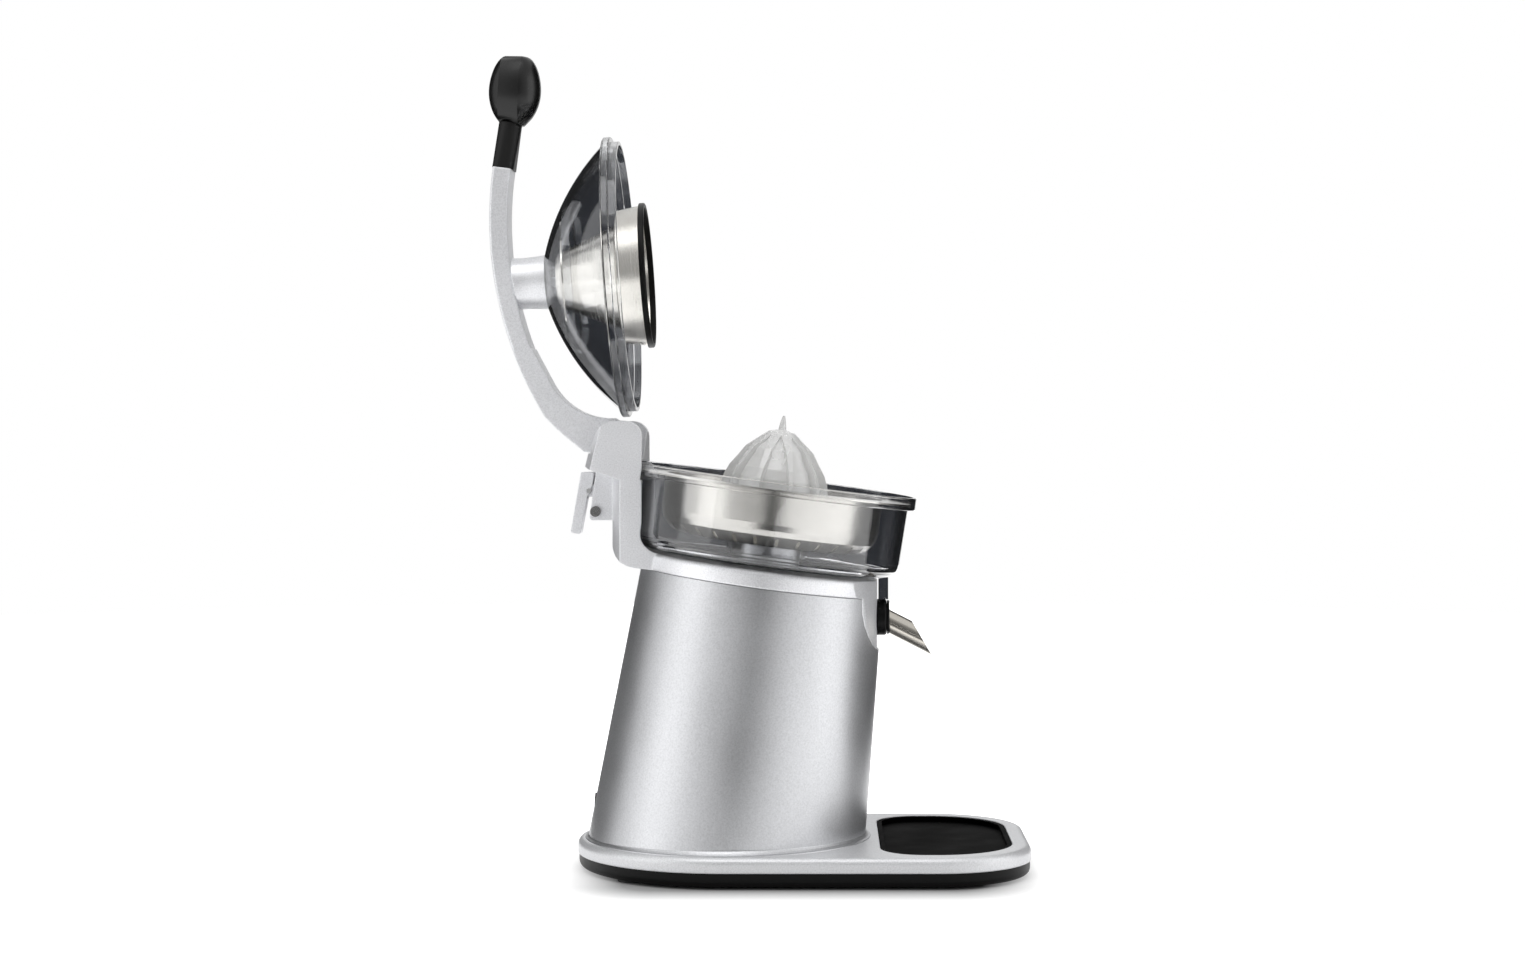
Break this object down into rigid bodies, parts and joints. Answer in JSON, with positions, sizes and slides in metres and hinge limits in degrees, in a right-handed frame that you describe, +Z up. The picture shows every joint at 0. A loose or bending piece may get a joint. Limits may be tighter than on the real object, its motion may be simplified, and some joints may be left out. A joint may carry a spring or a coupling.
{
  "type": "citrus press",
  "caption": "Electric citrus press with a lever arm, clear bowl and splash dome, steel strainer, ribbed reamer, spout and drip tray.",
  "frame": {"origin": "middle of the press seen from above, on the table", "axes": "+X towards the spout, +Y to the left of the press, +Z up"},
  "size_m": [0.3441, 0.191, 0.5175],
  "materials": {
    "silver_paint": "satin metallic silver",
    "silver_body": "fine-grained satin silver",
    "black_plastic": "satin black",
    "gloss_black": "glossy black",
    "rubber": "matt",
    "polished_steel": "polished stainless",
    "steel": "machined",
    "motor_steel": "satin",
    "laminations": "bare laminated",
    "gear_plastic": "satin moulded",
    "switch_plastic": "satin moulded",
    "brass": "machined",
    "bronze": "sintered",
    "clear_plastic": "clear",
    "cream_plastic": "translucent off-white"
  },
  "bodies": {
    "base": {"base_plate": "black_plastic", "base_shell": "silver_paint", "rubber_feet": "rubber", "base_screws": "steel", "motor_housing": "silver_body", "tie_rods": "steel", "cord_grommet": "rubber", "frame": "silver_paint", "spout_collar": "black_plastic", "gearbox_plate": "steel", "gear_posts": "steel", "motor_can": "motor_steel", "motor_stator": "laminations", "motor_bearings": "steel", "motor_screws": "steel", "idler_pin": "steel", "gear_bush": "bronze", "spindle_bush": "bronze", "spindle_seal": "rubber", "switch_body": "switch_plastic", "hinge_pin": "steel", "pin_cap": "silver_paint", "latch_pin": "steel", "lug_screw": "steel"},
    "tray": {"drip_tray": "black_plastic"},
    "rotor": {"motor_rotor": "laminations", "cooling_fan": "gear_plastic", "motor_pinion": "brass"},
    "idler": {"idler_gear": "gear_plastic"},
    "output": {"output_gear": "gear_plastic", "hub_clip": "steel", "spindle_spring": "steel"},
    "drive_shaft": {"spindle": "steel"},
    "plunger": {"switch_plunger": "gear_plastic"},
    "juice_bowl": {"bowl": "clear_plastic"},
    "basket": {"strainer": "polished_steel"},
    "cone": {"reamer": "cream_plastic"},
    "spout": {"spout_barrel": "black_plastic", "spout_tube": "polished_steel"},
    "lever": {"arm": "silver_paint", "arm_bushes": "bronze", "stem": "silver_paint", "stem_bolt": "steel", "dome": "clear_plastic", "press_cup": "polished_steel", "cup_ring": "rubber", "arm_grip": "gloss_black", "knob": "gloss_black"},
    "latch": {"latch_lever": "silver_paint"}
  },
  "joints": [
    {"name": "motor_spin", "type": "hinge", "parent": "base", "child": "rotor", "pos_m": [0.01076, -0.015, 0.07606], "axis": [0.1323, 0, 0.9912], "continuous": true},
    {"name": "idler_spin", "type": "hinge", "parent": "base", "child": "idler", "pos_m": [0.04313, 0, 0.12219], "axis": [0.1323, 0, 0.9912], "continuous": true},
    {"name": "drive_spin", "type": "hinge", "parent": "base", "child": "output", "pos_m": [-0.019, 0, 0.0195], "axis": [0.1323, 0, 0.9912], "continuous": true},
    {"name": "spindle_press", "type": "slide", "parent": "output", "child": "drive_shaft", "axis": [0.1323, 0, 0.9912], "range_m": [-0.002, 0], "stiffness_N_per_m": 4000, "springref_m": 0.004, "deforming": ["spindle_spring"]},
    {"name": "switch_press", "type": "slide", "parent": "base", "child": "plunger", "axis": [0.1323, 0, 0.9912], "range_m": [-0.002, 0]},
    {"name": "reamer_lift", "type": "slide", "parent": "drive_shaft", "child": "cone", "axis": [0.1323, 0, 0.9912], "range_m": [0, 0.12]},
    {"name": "strainer_lift", "type": "slide", "parent": "base", "child": "basket", "axis": [0.1323, 0, 0.9912], "range_m": [0, 0.06]},
    {"name": "bowl_lift", "type": "slide", "parent": "base", "child": "juice_bowl", "axis": [0.1323, 0, 0.9912], "range_m": [0, 0.03]},
    {"name": "spout_turn", "type": "hinge", "parent": "base", "child": "spout", "pos_m": [0.08, 0, 0.15866], "axis": [1, 0, 0], "range_deg": [0, 180]},
    {"name": "arm_pivot", "type": "hinge", "parent": "base", "child": "lever", "pos_m": [-0.0883, 0, 0.2736], "axis": [0, -1, 0], "range_deg": [-101.4, 0]},
    {"name": "latch_squeeze", "type": "hinge", "parent": "base", "child": "latch", "pos_m": [-0.1075, 0, 0.2397], "axis": [0, -1, 0], "range_deg": [0, 8], "stiffness_Nm_per_rad": 0.4, "springref_deg": -2.86},
    {"name": "tray_lift", "type": "slide", "parent": "base", "child": "tray", "axis": [0, 0, 1], "range_m": [0, 0.03]}
  ],
  "couplings": [
    {"joint": "idler_spin", "follows": "motor_spin", "ratio": -0.25},
    {"joint": "drive_spin", "follows": "motor_spin", "ratio": 0.07},
    {"joint": "switch_press", "follows": "spindle_press", "ratio": 1},
    {"joint": "strainer_lift", "follows": "reamer_lift", "ratio": 0.5},
    {"joint": "bowl_lift", "follows": "reamer_lift", "ratio": 0.25}
  ]
}
